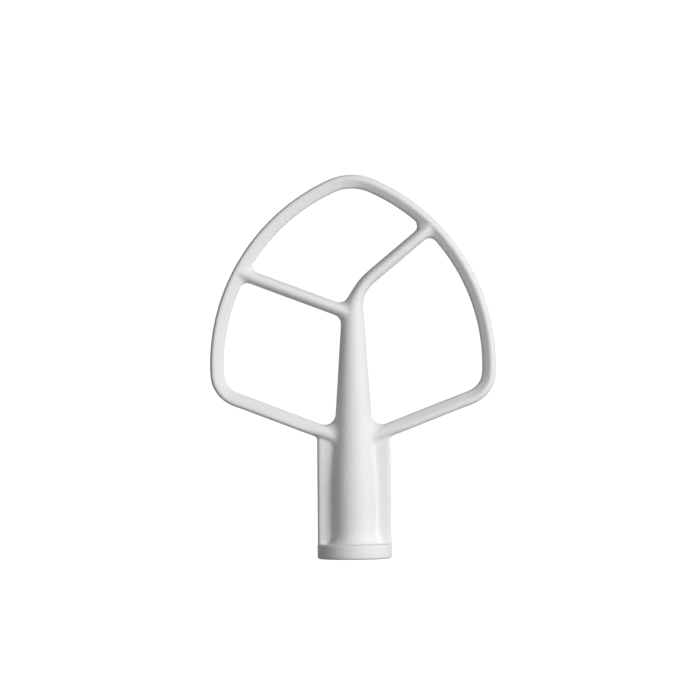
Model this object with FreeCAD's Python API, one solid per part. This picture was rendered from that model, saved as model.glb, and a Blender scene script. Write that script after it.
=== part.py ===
import FreeCAD, Part
import math
import os

from FreeCAD import Vector

# Flat beater of a tilt-head stand mixer: one aluminium casting with a white coat, standing on its collar.
# The origin is the middle of the socket's mouth, +Z runs up the stem, X across the loop, -Y to the front.
# Lengths are in millimetres and angles in degrees.

# Loop, measured to the middle of its bar: its side is curved above its widest place and straight under it
LOOP_HALF_WIDTH = 63.6
WIDEST_HEIGHT = 90.6
SIDE_STRAIGHT = 3.4
TOP_HEIGHT = 176.2
TOP_RADIUS = 22.9
CORNER_RADIUS = 13.0

# Arms, the low straight ends of the loop: slope, where they start beside the axis, and their oval roots
ARM_SLOPE = 21.2
ARM_START = 2.0
ROOT_DEPTH = 9.6
ROOT_END = 14.0
ROOT_EASING = 10.0

# Section of the bar, before its edges are softened
BAR_WIDTH = 6.4
BAR_DEPTH = 11.4
RIDGE_OFFSET = 1.15
BEVEL_ANGLE = 36.0
FACE_TILT = 21.0
EDGE_BREAK = 1.15
EDGE_DROP = 1.7
TURNOVER_LENGTH = 9.0
BROKEN_EDGES = (1, 5)
SIDE_SHARES = (1 / 3, 2 / 3)

# Stem, straight round the socket and tapered above it, and the spoke that it bends into
STEM_FOOT_RADIUS = 10.75
STEM_TOP_RADIUS = 5.3
TAPER_START = 33.0
FLARE_RADIUS = 6.0
FLARE_WIDTH = 1.9
RIGHT_SPOKE_HEIGHT = 124.3
RIGHT_SPOKE_SLOPE = 39.6
RIGHT_SPOKE_BEND = 24.0
THINNING_LENGTH = 13.0

# Left spoke, which leaves the stem under the bend
LEFT_SPOKE_HEIGHT = 114.0
LEFT_SPOKE_SLOPE = 20.8

# Section of both spokes, and how far their ends run past the middle of the bar
SPOKE_WIDTH = 6.15
SPOKE_DEPTH = 9.8
SPOKE_SINK = 1.5

# Webs from the collar up to the arms
WEB_TOP_HALF_WIDTH = 17.1
WEB_FOOT_HALF_WIDTH = 17.25
WEB_THICKNESS = 5.4
WEB_EDGE_ROUND = 1.5

# Collar
COLLAR_RADIUS = 17.45
COLLAR_HEIGHT = 6.8
COLLAR_FOOT_ROUND = 0.8
COLLAR_LEDGE_ROUND = 0.5
FOOT_SINK = 1.0

# Socket for the mixer's shaft, with the way in, the window and the seat for the shaft's cross pin
SHAFT_DIAMETER = 12.7
SHAFT_CLEARANCE = 0.2
SOCKET_DEPTH = 52.0
MOUTH_CHAMFER = 0.6
PIN_DIAMETER = 4.8
PIN_CLEARANCE = 0.8
PIN_REACH = 13.2
WINDOW_WIDTH = 11.8
WINDOW_HEIGHT = 9.0
WINDOW_ROUND = 1.5
SEAT_DEPTH = 1.0

# Blends where the bars meet
ARM_BLEND = 5.0
RIGHT_SPOKE_BLEND = 3.5
LEFT_SPOKE_LOOP_BLEND = 3.3
LEFT_SPOKE_STEM_BLEND = 4.3
WEB_BLEND = 1.2

# Spacing of the sections along a bar, and the number of control points round an oval
STATION_SPACING = 4.0
OVAL_POINTS = 12

# Where an edge is sampled to see which skins it lies on, as shares of its length, and how near counts as on
EDGE_SAMPLES = (0.2, 0.5, 0.8)
TOUCHING = 0.001

AXIS_UP = Vector(0, 0, 1)
ACROSS = Vector(1, 0, 0)
BACK = Vector(0, 1, 0)


def in_plane(angle):
    """Unit vector in the plane of the loop, at an angle from +X towards +Z."""
    return Vector(math.cos(angle), 0, math.sin(angle))


def ease(share):
    """Smooth step from 0 to 1."""
    held = max(0.0, min(1.0, share))
    return held * held * (3 - 2 * held)


def swell(step):
    """How far control points stand outside the arc that they shape, for an even angular step."""
    return 3 / (2 + math.cos(step))


def tube(rings):
    """Closed solid with one smooth side through rings of control points, and flat ends."""
    around = len(rings[0])
    spans = len(rings) - 3
    side = Part.BSplineSurface()
    side.buildFromPolesMultsKnots(
        [[ring[i] for ring in rings] for i in range(around)],
        [1] * (around + 1),
        [4] + [1] * (spans - 1) + [4],
        list(range(around + 1)),
        list(range(spans + 1)),
        True,
        False,
        3,
        3,
    )
    ends = [Part.Face(Part.Wire(side.vIso(v).toShape())) for v in (0, spans)]
    shell = Part.makeShell([side.toShape()] + ends)
    shell.sewShape()
    solid = Part.makeSolid(shell)
    if solid.Volume < 0:
        solid.reverse()
    return solid


def oval(centre, across, width, depth):
    """Control points of an oval section, starting at its back."""
    step = 2 * math.pi / OVAL_POINTS
    half_width = width / 2 * swell(step)
    half_depth = depth / 2 * swell(step)
    turns = [step * i for i in range(OVAL_POINTS)]
    return [centre + BACK * (half_depth * math.cos(a)) + across * (half_width * math.sin(a)) for a in turns]


def side_arc():
    """Centre and radius of the right side of the loop, which runs into the top arc."""
    rise = TOP_HEIGHT - TOP_RADIUS - WIDEST_HEIGHT
    radius = (LOOP_HALF_WIDTH**2 + rise**2 - TOP_RADIUS**2) / (2 * (LOOP_HALF_WIDTH - TOP_RADIUS))
    return Vector(LOOP_HALF_WIDTH - radius, 0, WIDEST_HEIGHT), radius


def corner_centre():
    """Centre of the right corner's arc."""
    return Vector(LOOP_HALF_WIDTH - CORNER_RADIUS, 0, WIDEST_HEIGHT - SIDE_STRAIGHT)


def arm_corner():
    """Where the right arm runs into the corner of the loop."""
    return corner_centre() + in_plane(math.radians(ARM_SLOPE) - math.pi / 2) * CORNER_RADIUS


def along_line(start, end, outward):
    """Stations of a straight run, without its end: place of the section, outward direction and scale."""
    count = math.ceil((end - start).Length / STATION_SPACING)
    return [(start + (end - start) * (i / count), outward, 1.0) for i in range(count)]


def along_arc(centre, radius, start, end):
    """Stations of an arc, without its end, scaled so that the surface lies on the arc."""
    count = math.ceil(radius * (end - start) / STATION_SPACING)
    step = (end - start) / count
    scale = swell(step)
    directions = [in_plane(start + step * i) for i in range(count)]
    return [(centre + outward * (radius * scale), outward, scale) for outward in directions]


def right_half_path():
    """Stations of the right half, from the start of the arm up to the top."""
    slope = math.radians(ARM_SLOPE)
    under_arm = slope - math.pi / 2
    arm_end = arm_corner()
    arm_start = arm_end - in_plane(slope) * ((arm_end.x - ARM_START) / math.cos(slope))
    corner_end = corner_centre() + ACROSS * CORNER_RADIUS
    side_centre, side_radius = side_arc()
    top_centre = Vector(0, 0, TOP_HEIGHT - TOP_RADIUS)
    side_end = math.atan2(top_centre.z - side_centre.z, top_centre.x - side_centre.x)
    return (
        along_line(arm_start, arm_end, in_plane(under_arm))
        + along_arc(corner_centre(), CORNER_RADIUS, under_arm, 0.0)
        + along_line(corner_end, corner_end + AXIS_UP * SIDE_STRAIGHT, ACROSS)
        + along_arc(side_centre, side_radius, 0.0, side_end)
        + along_arc(top_centre, TOP_RADIUS, side_end, math.pi / 2)
    )


def bar_corners(hand):
    """Corners of the bar's section, out from the middle and back from it.

    On the right the ridge is at the front and the flat face behind. On the left it is the other way round.
    Hand runs from 0 on the left to 1 on the right.
    """
    half = BAR_WIDTH / 2
    deep = BAR_DEPTH / 2
    bevel = math.tan(math.radians(BEVEL_ANGLE))
    tilt = math.tan(math.radians(FACE_TILT))
    right = [
        (half, deep - EDGE_DROP),
        (half, (half - RIDGE_OFFSET) * bevel - deep),
        (RIDGE_OFFSET, -deep),
        (-half, (half + RIDGE_OFFSET) * bevel - deep),
        (-half, deep - BAR_WIDTH * tilt),
        (half - EDGE_BREAK, deep - EDGE_BREAK * tilt),
    ]
    left = [(out, -back) for out, back in [right[i] for i in (1, 0, 5, 4, 3, 2)]]
    return [
        (l_out + (r_out - l_out) * hand, l_back + (r_back - l_back) * hand)
        for (l_out, l_back), (r_out, r_back) in zip(left, right)
    ]


def bar_points(hand):
    """Control points of the bar's section: its corners, and points along its flat sides."""
    corners = bar_corners(hand)
    points = []
    for i, (out, back) in enumerate(corners):
        points.append((out, back))
        if i not in BROKEN_EDGES:
            next_out, next_back = corners[(i + 1) % len(corners)]
            run_out = next_out - out
            run_back = next_back - back
            points += [(out + run_out * share, back + run_back * share) for share in SIDE_SHARES]
    return points


def oval_point(out, back):
    """The control point of an arm's oval root that lies in the same direction as a point of its section."""
    turn = math.atan2(back / ROOT_DEPTH, out / BAR_WIDTH)
    grown = swell(2 * math.pi / OVAL_POINTS)
    return BAR_WIDTH / 2 * grown * math.cos(turn), ROOT_DEPTH / 2 * grown * math.sin(turn)


def bar_ring(place, outward, scale, hand, rootness):
    """Control points of the bar at one station, from its full section to an oval where it is a root."""
    ring = []
    for out, back in bar_points(hand):
        oval_out, oval_back = oval_point(out, back)
        out += (oval_out - out) * rootness
        back += (oval_back - back) * rootness
        ring.append(place + outward * (out * scale) + BACK * back)
    return ring


def make_loop():
    """The loop with both arms, whose section turns over at the top."""
    right = right_half_path()
    left = [(Vector(-p.x, p.y, p.z), Vector(-o.x, o.y, o.z), scale) for p, o, scale in right]
    top = (Vector(0, 0, TOP_HEIGHT), AXIS_UP, 1.0)
    path = left + [top] + right[::-1]
    rings = []
    for place, outward, scale in path:
        from_top = math.atan2(place.x, place.z - TOP_HEIGHT + TOP_RADIUS) * TOP_RADIUS
        hand = ease(0.5 + from_top / (2 * TURNOVER_LENGTH))
        on_arm = place.z < WIDEST_HEIGHT
        rootness = ease((ROOT_END + ROOT_EASING - abs(place.x)) / ROOT_EASING) if on_arm else 0.0
        rings.append(bar_ring(place, outward, scale, hand, rootness))
    return tube(rings)


def reach_to_loop(start, direction):
    """Length of a spoke from the axis to a little past the middle of the loop's bar."""
    centre, radius = side_arc()
    mirrored = Vector(math.copysign(1, direction.x) * centre.x, 0, centre.z)
    gap = start - mirrored
    along = gap.dot(direction)
    return math.sqrt(along**2 - gap.Length**2 + radius**2) - along + SPOKE_SINK


def make_left_spoke():
    slope = math.radians(180 - LEFT_SPOKE_SLOPE)
    start = Vector(0, 0, LEFT_SPOKE_HEIGHT)
    direction = in_plane(slope)
    across = in_plane(slope + math.pi / 2)
    reach = reach_to_loop(start, direction)
    count = math.ceil(reach / STATION_SPACING)
    places = [start + direction * (reach * i / count) for i in range(count + 1)]
    return tube([oval(place, across, SPOKE_WIDTH, SPOKE_DEPTH) for place in places])


def make_stem():
    """The tapered stem, flared at its foot, bending at its top into the right spoke."""
    slope = math.radians(RIGHT_SPOKE_SLOPE)
    turn = math.pi / 2 - slope
    tangent = RIGHT_SPOKE_BEND * math.tan(turn / 2)
    bend_start = RIGHT_SPOKE_HEIGHT - tangent
    taper = (STEM_FOOT_RADIUS - STEM_TOP_RADIUS) / (bend_start - TAPER_START)
    flare_height = math.sqrt(FLARE_RADIUS**2 - (FLARE_RADIUS - FLARE_WIDTH) ** 2)
    rings = []

    def stem_ring(height, extra):
        width = 2 * (STEM_FOOT_RADIUS - taper * max(0.0, height - TAPER_START) + extra)
        rings.append(oval(AXIS_UP * height, ACROSS, width, width))

    flare_count = math.ceil(2 * flare_height / STATION_SPACING)
    stem_ring(COLLAR_HEIGHT - FOOT_SINK, FLARE_WIDTH)
    for i in range(flare_count):
        left_over = flare_height * (1 - i / flare_count)
        stem_ring(
            COLLAR_HEIGHT + flare_height - left_over,
            FLARE_RADIUS - math.sqrt(FLARE_RADIUS**2 - left_over**2),
        )
    straight = bend_start - COLLAR_HEIGHT - flare_height
    straight_count = math.ceil(straight / STATION_SPACING)
    for i in range(straight_count):
        stem_ring(COLLAR_HEIGHT + flare_height + straight * i / straight_count, 0.0)

    def spoke_ring(place, across, along):
        share = ease(along / THINNING_LENGTH)
        width = 2 * STEM_TOP_RADIUS + (SPOKE_WIDTH - 2 * STEM_TOP_RADIUS) * share
        depth = 2 * STEM_TOP_RADIUS + (SPOKE_DEPTH - 2 * STEM_TOP_RADIUS) * share
        rings.append(oval(place, across, width, depth))

    bend_centre = Vector(RIGHT_SPOKE_BEND, 0, bend_start)
    bend_length = RIGHT_SPOKE_BEND * turn
    bend_count = math.ceil(bend_length / STATION_SPACING)
    for i in range(bend_count):
        inward = in_plane(math.pi - turn * i / bend_count)
        spoke_ring(bend_centre + inward * RIGHT_SPOKE_BEND, inward * -1, bend_length * i / bend_count)

    direction = in_plane(slope)
    start = Vector(0, 0, RIGHT_SPOKE_HEIGHT)
    reach = reach_to_loop(start, direction) - tangent
    count = math.ceil(reach / STATION_SPACING)
    for i in range(count + 1):
        along = reach * i / count
        place = start + direction * (tangent + along)
        spoke_ring(place, in_plane(slope - math.pi / 2), bend_length + along)
    return tube(rings)


def make_web():
    """The right web: a flat plate from the stem's axis to its rounded outer edge, ending inside the arm."""
    slope = math.tan(math.radians(ARM_SLOPE))
    arm_end = arm_corner()
    arm_at_axis = arm_end.z - arm_end.x * slope
    foot = COLLAR_HEIGHT - FOOT_SINK
    front = BACK * (-WEB_THICKNESS / 2)
    outline = [
        Vector(0, 0, foot),
        Vector(WEB_FOOT_HALF_WIDTH, 0, foot),
        Vector(WEB_TOP_HALF_WIDTH, 0, arm_at_axis + WEB_TOP_HALF_WIDTH * slope),
        Vector(0, 0, arm_at_axis),
    ]
    plate = Part.Face(Part.makePolygon([p + front for p in outline + outline[:1]]))
    web = plate.extrude(BACK * WEB_THICKNESS)
    middle = (outline[1] + outline[2]) / 2
    sides = [middle + front, middle - front]
    outer = [
        edge
        for edge in web.Edges
        if min(edge.CenterOfMass.distanceToPoint(side) for side in sides) < TOUCHING
    ]
    return web.makeFillet(WEB_EDGE_ROUND, outer)


def make_collar():
    """The round collar, turned about the stem's axis."""
    outline = Part.makePolygon(
        [
            Vector(0, 0, 0),
            Vector(0, COLLAR_RADIUS, 0),
            Vector(0, COLLAR_RADIUS, COLLAR_HEIGHT),
            Vector(0, 0, COLLAR_HEIGHT),
            Vector(0, 0, 0),
        ]
    )
    collar = Part.Face(outline).revolve(Vector(0, 0, 0), AXIS_UP, 360)
    rims = [edge for edge in collar.Edges if edge.Closed]
    foot, ledge = sorted(rims, key=lambda edge: edge.CenterOfMass.z)
    return collar.makeFillet(COLLAR_FOOT_ROUND, [foot]).makeFillet(COLLAR_LEDGE_ROUND, [ledge])


def block(x_low, x_high, reach, z_low, z_high):
    """A cutter from the axis towards the back."""
    return Part.makeBox(x_high - x_low, reach, z_high - z_low, Vector(x_low, 0, z_low))


def make_socket():
    """What is cut away for the shaft: its bore, and the way in, the window and the seat of its pin."""
    radius = (SHAFT_DIAMETER + SHAFT_CLEARANCE) / 2
    bore = Part.makeCylinder(radius, SOCKET_DEPTH)
    mouth = Part.makeCone(radius + MOUTH_CHAMFER, radius, MOUTH_CHAMFER)
    passage = PIN_DIAMETER + PIN_CLEARANCE
    side = WINDOW_WIDTH / 2
    way_in = block(-side, passage - side, PIN_REACH, 0, COLLAR_HEIGHT)
    window = block(-side, side, COLLAR_RADIUS, COLLAR_HEIGHT, COLLAR_HEIGHT + WINDOW_HEIGHT)
    seat = block(side - passage, side, PIN_REACH, COLLAR_HEIGHT - SEAT_DEPTH, COLLAR_HEIGHT)
    middle = COLLAR_HEIGHT + WINDOW_HEIGHT / 2
    corners = [
        edge
        for edge in window.Edges
        if edge.BoundBox.YLength > COLLAR_RADIUS / 2 and edge.CenterOfMass.z > middle
    ]
    return bore.fuse([mouth, way_in, window.makeFillet(WINDOW_ROUND, corners), seat])


def meeting_edges(body, first, second):
    """Edges of a joined body that lie on the skins of both solids it was joined from."""
    skins = [Part.makeShell(solid.Faces) for solid in (second, first)]
    found = []
    for edge in body.Edges:
        if not edge.BoundBox.intersect(second.BoundBox):
            continue
        span = edge.LastParameter - edge.FirstParameter
        points = [Part.Vertex(edge.valueAt(edge.FirstParameter + span * share)) for share in EDGE_SAMPLES]
        if all(skin.distToShape(point)[0] < TOUCHING for skin in skins for point in points):
            found.append(edge)
    return found


def blended(first, second, blends):
    """Joins two solids and rounds the hollows where they meet.

    Each blend is a radius and a test that says which of the meeting edges it rounds.
    """
    body = first.fuse(second).Solids[0]
    edges = meeting_edges(body, first, second)
    for radius, chosen in blends:
        body = body.makeFillet(radius, [edge for edge in edges if chosen(edge.CenterOfMass)])
        edges = meeting_edges(body, first, second)
    return body


def make_beater():
    web = make_web()
    other_web = web.copy()
    other_web.rotate(Vector(0, 0, 0), AXIS_UP, 180)

    def is_arm(place):
        return place.z < WIDEST_HEIGHT

    def is_spoke(place):
        return place.z > WIDEST_HEIGHT

    def is_at_loop(place):
        return abs(place.x) > LOOP_HALF_WIDTH / 2

    def is_at_stem(place):
        return abs(place.x) < LOOP_HALF_WIDTH / 2

    def is_above_collar(place):
        return place.z > COLLAR_HEIGHT

    body = blended(make_loop(), make_stem(), [(RIGHT_SPOKE_BLEND, is_spoke), (ARM_BLEND, is_arm)])
    body = blended(
        body,
        make_left_spoke(),
        [(LEFT_SPOKE_LOOP_BLEND, is_at_loop), (LEFT_SPOKE_STEM_BLEND, is_at_stem)],
    )
    body = blended(body, web, [(WEB_BLEND, is_above_collar)])
    body = blended(body, other_web, [(WEB_BLEND, is_above_collar)])
    body = body.fuse(make_collar()).Solids[0].removeSplitter()
    return body.cut(make_socket()).Solids[0]


beater = make_beater()
os.makedirs("parts", exist_ok=True)
beater.exportStep("parts/flat_beater.step")
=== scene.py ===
import math

import bpy
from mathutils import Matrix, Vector


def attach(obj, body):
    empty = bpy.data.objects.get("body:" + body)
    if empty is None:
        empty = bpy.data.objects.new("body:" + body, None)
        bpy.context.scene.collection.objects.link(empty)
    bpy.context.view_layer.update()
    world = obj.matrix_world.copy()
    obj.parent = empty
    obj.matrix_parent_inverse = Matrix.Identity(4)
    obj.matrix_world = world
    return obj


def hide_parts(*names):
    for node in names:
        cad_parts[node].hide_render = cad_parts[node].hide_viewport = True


# Looks of a stand mixer flat beater: a white baked coat over the casting, in plain studio light.
# Lengths are in metres, angles in degrees and lamp powers in watts. Colours are linear, with their alpha.

WHITE = (1.0, 1.0, 1.0, 1.0)

# Camera: straight in front, level, far off on a long lens, and rolled a little
# The lens and the sensor are in millimetres.
CAMERA_PLACE = (-0.00134, -2.4, 0.0975)
CAMERA_TILT = 90.0
CAMERA_ROLL = 0.55
CAMERA_LENS = 264.0
SENSOR_WIDTH = 36.0

# Skin of the coated casting: the size of its quads, and how far and how often smoothing softens the edges
SKIN_QUAD = 0.0006
SOFTENING = 0.5
SOFTENING_ROUNDS = 2

# White baked coat: its lightest and darkest colour, its range of roughness and its gloss
COAT_WHITE = (0.86, 0.86, 0.86, 1.0)
COAT_SHADE = (0.83, 0.83, 0.83, 1.0)
COAT_ROUGHNESS = (0.46, 0.54)
COAT_GLOSS = 0.12

# Patterns in the coat: wide clouds of shade and gloss, an orange peel, and a finer grain
CLOUD_SCALE = 60.0
CLOUD_DETAIL = 3.0
PEEL_SCALE = 700.0
PEEL_DETAIL = 2.0
PEEL_DEPTH = 0.00003
GRAIN_SCALE = 3200.0
GRAIN_DETAIL = 1.0
GRAIN_DEPTH = 0.000006

# Floor: a round matt board just under the beater, and the glow that whitens it
FLOOR_RADIUS = 0.7
FLOOR_SIDES = 96
FLOOR_DROP = 0.0001
FLOOR_GREY = (0.3, 0.3, 0.3, 1.0)
FLOOR_ROUGHNESS = 1.0
FLOOR_GLOSS = 0.0
FLOOR_GLOW = 0.95

# Surroundings: how much they light the beater, and how bright they look
AMBIENT = 0.02
BACKGROUND_WHITE = 1.05

# Lamps: the point that they face, then for each one its name, azimuth from the front towards the right,
# elevation, distance, width and power, and whether it shows in reflections
LAMP_TARGET = Vector((0.0, 0.0, 0.09))
LAMPS = [
    ("key", 48.5, 14.5, 1.8, 1.1, 26.4, True),
    ("front", 0.0, 8.5, 1.8, 0.9, 7.6, True),
    ("above", 0.0, 88.0, 1.8, 0.9, 1.8, True),
    ("behind", 167.0, 16.0, 1.8, 0.5, 22.0, False),
]


def add_nodes(material):
    """The material's nodes and links, with the principled shader that it starts with."""
    material.use_nodes = True
    tree = material.node_tree
    return tree.nodes, tree.links, tree.nodes["Principled BSDF"]


def noise(nodes, links, place, scale, detail):
    """A noise pattern that is fixed to the object."""
    node = nodes.new("ShaderNodeTexNoise")
    node.inputs["Scale"].default_value = scale
    node.inputs["Detail"].default_value = detail
    links.new(place, node.inputs["Vector"])
    return node.outputs["Fac"]


def make_coat():
    """White baked coat: nearly even in colour, with a fine orange peel and a satin gloss."""
    material = bpy.data.materials.new("white_coating")
    nodes, links, shader = add_nodes(material)
    place = nodes.new("ShaderNodeTexCoord").outputs["Object"]
    clouds = noise(nodes, links, place, CLOUD_SCALE, CLOUD_DETAIL)
    peel = noise(nodes, links, place, PEEL_SCALE, PEEL_DETAIL)
    grain = noise(nodes, links, place, GRAIN_SCALE, GRAIN_DETAIL)

    tint = nodes.new("ShaderNodeMix")
    tint.data_type = "RGBA"
    tint.inputs["A"].default_value = COAT_SHADE
    tint.inputs["B"].default_value = COAT_WHITE
    links.new(clouds, tint.inputs["Factor"])
    links.new(tint.outputs["Result"], shader.inputs["Base Color"])

    gloss = nodes.new("ShaderNodeMapRange")
    gloss.inputs["To Min"].default_value = COAT_ROUGHNESS[0]
    gloss.inputs["To Max"].default_value = COAT_ROUGHNESS[1]
    links.new(clouds, gloss.inputs["Value"])
    links.new(gloss.outputs["Result"], shader.inputs["Roughness"])
    shader.inputs["Specular IOR Level"].default_value = COAT_GLOSS

    normal = None
    for height, depth in ((peel, PEEL_DEPTH), (grain, GRAIN_DEPTH)):
        bump = nodes.new("ShaderNodeBump")
        bump.inputs["Distance"].default_value = depth
        links.new(height, bump.inputs["Height"])
        if normal is not None:
            links.new(normal, bump.inputs["Normal"])
        normal = bump.outputs["Normal"]
    links.new(normal, shader.inputs["Normal"])
    return material


def make_coated_beater(casting):
    """The casting in its coat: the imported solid's surface as an even skin, with softened edges."""
    draft_mesh = casting.data.copy()
    draft = bpy.data.objects.new("draft", draft_mesh)
    bpy.context.collection.objects.link(draft)
    skin = draft.modifiers.new("skin", "REMESH")
    skin.mode = "VOXEL"
    skin.voxel_size = SKIN_QUAD
    soft = draft.modifiers.new("soft", "SMOOTH")
    soft.factor = SOFTENING
    soft.iterations = SOFTENING_ROUNDS
    depsgraph = bpy.context.evaluated_depsgraph_get()
    finished = bpy.data.meshes.new_from_object(draft.evaluated_get(depsgraph))
    bpy.data.objects.remove(draft)
    bpy.data.meshes.remove(draft_mesh)
    finished.shade_smooth()
    finished.materials.clear()
    finished.materials.append(make_coat())
    beater = bpy.data.objects.new("coated_beater", finished)
    bpy.context.collection.objects.link(beater)
    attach(beater, "root")
    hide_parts("flat_beater")


def seen_rays(nodes, links):
    """1 for the rays that show the surroundings: camera, glossy and transmission rays."""
    path = nodes.new("ShaderNodeLightPath")
    seen = path.outputs["Is Camera Ray"]
    for name in ("Is Glossy Ray", "Is Transmission Ray"):
        larger = nodes.new("ShaderNodeMath")
        larger.operation = "MAXIMUM"
        links.new(seen, larger.inputs[0])
        links.new(path.outputs[name], larger.inputs[1])
        seen = larger.outputs["Value"]
    return seen


def make_floor():
    """Grey floor that keeps the object's shadow, and glows so that it otherwise shows as white."""
    material = bpy.data.materials.new("floor")
    nodes, links, shader = add_nodes(material)
    shader.inputs["Base Color"].default_value = FLOOR_GREY
    shader.inputs["Roughness"].default_value = FLOOR_ROUGHNESS
    shader.inputs["Specular IOR Level"].default_value = FLOOR_GLOSS
    shader.inputs["Emission Color"].default_value = WHITE
    glow = nodes.new("ShaderNodeMath")
    glow.operation = "MULTIPLY"
    glow.inputs[1].default_value = FLOOR_GLOW
    links.new(seen_rays(nodes, links), glow.inputs[0])
    links.new(glow.outputs["Value"], shader.inputs["Emission Strength"])
    turns = [2 * math.pi * i / FLOOR_SIDES for i in range(FLOOR_SIDES)]
    rim = [(FLOOR_RADIUS * math.cos(a), FLOOR_RADIUS * math.sin(a), -FLOOR_DROP) for a in turns]
    mesh = bpy.data.meshes.new("floor")
    mesh.from_pydata(rim, [], [range(FLOOR_SIDES)])
    mesh.materials.append(material)
    floor = bpy.data.objects.new("floor", mesh)
    bpy.context.collection.objects.link(floor)


def make_surroundings():
    """White to look at, and a weak even light on the object."""
    world = bpy.data.worlds.new("surroundings")
    bpy.context.scene.world = world
    world.use_nodes = True
    nodes = world.node_tree.nodes
    links = world.node_tree.links
    strength = nodes.new("ShaderNodeMapRange")
    strength.inputs["To Min"].default_value = AMBIENT
    strength.inputs["To Max"].default_value = BACKGROUND_WHITE
    links.new(seen_rays(nodes, links), strength.inputs["Value"])
    background = nodes["Background"]
    background.inputs["Color"].default_value = WHITE
    links.new(strength.outputs["Result"], background.inputs["Strength"])


def make_lamps():
    """Soft round lamps that face the beater, unseen by the camera."""
    for name, azimuth, elevation, distance, width, power, in_reflections in LAMPS:
        lamp = bpy.data.lights.new(name, "AREA")
        lamp.shape = "DISK"
        lamp.size = width
        lamp.energy = power
        light = bpy.data.objects.new(name, lamp)
        turn = math.radians(azimuth)
        rise = math.radians(elevation)
        level = math.cos(rise)
        away = Vector((math.sin(turn) * level, -math.cos(turn) * level, math.sin(rise)))
        light.location = LAMP_TARGET + away * distance
        light.rotation_euler = (-away).to_track_quat("-Z", "Y").to_euler()
        light.visible_camera = False
        light.visible_glossy = in_reflections
        bpy.context.collection.objects.link(light)


def make_camera():
    """Camera that looks along the depth of the beater, from the front."""
    data = bpy.data.cameras.new("camera")
    data.lens = CAMERA_LENS
    data.sensor_width = SENSOR_WIDTH
    camera = bpy.data.objects.new("camera", data)
    camera.location = CAMERA_PLACE
    camera.rotation_euler = (math.radians(CAMERA_TILT), math.radians(CAMERA_ROLL), 0.0)
    bpy.context.collection.objects.link(camera)
    bpy.context.scene.camera = camera


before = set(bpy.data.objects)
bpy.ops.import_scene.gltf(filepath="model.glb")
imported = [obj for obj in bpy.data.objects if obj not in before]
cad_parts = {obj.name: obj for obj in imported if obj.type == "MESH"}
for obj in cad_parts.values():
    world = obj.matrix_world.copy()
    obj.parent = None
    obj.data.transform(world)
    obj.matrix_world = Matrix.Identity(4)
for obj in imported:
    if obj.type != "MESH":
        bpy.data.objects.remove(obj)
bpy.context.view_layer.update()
bpy.context.scene.view_settings.view_transform = "Standard"
make_coated_beater(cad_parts["flat_beater"])
make_floor()
make_surroundings()
make_lamps()
make_camera()
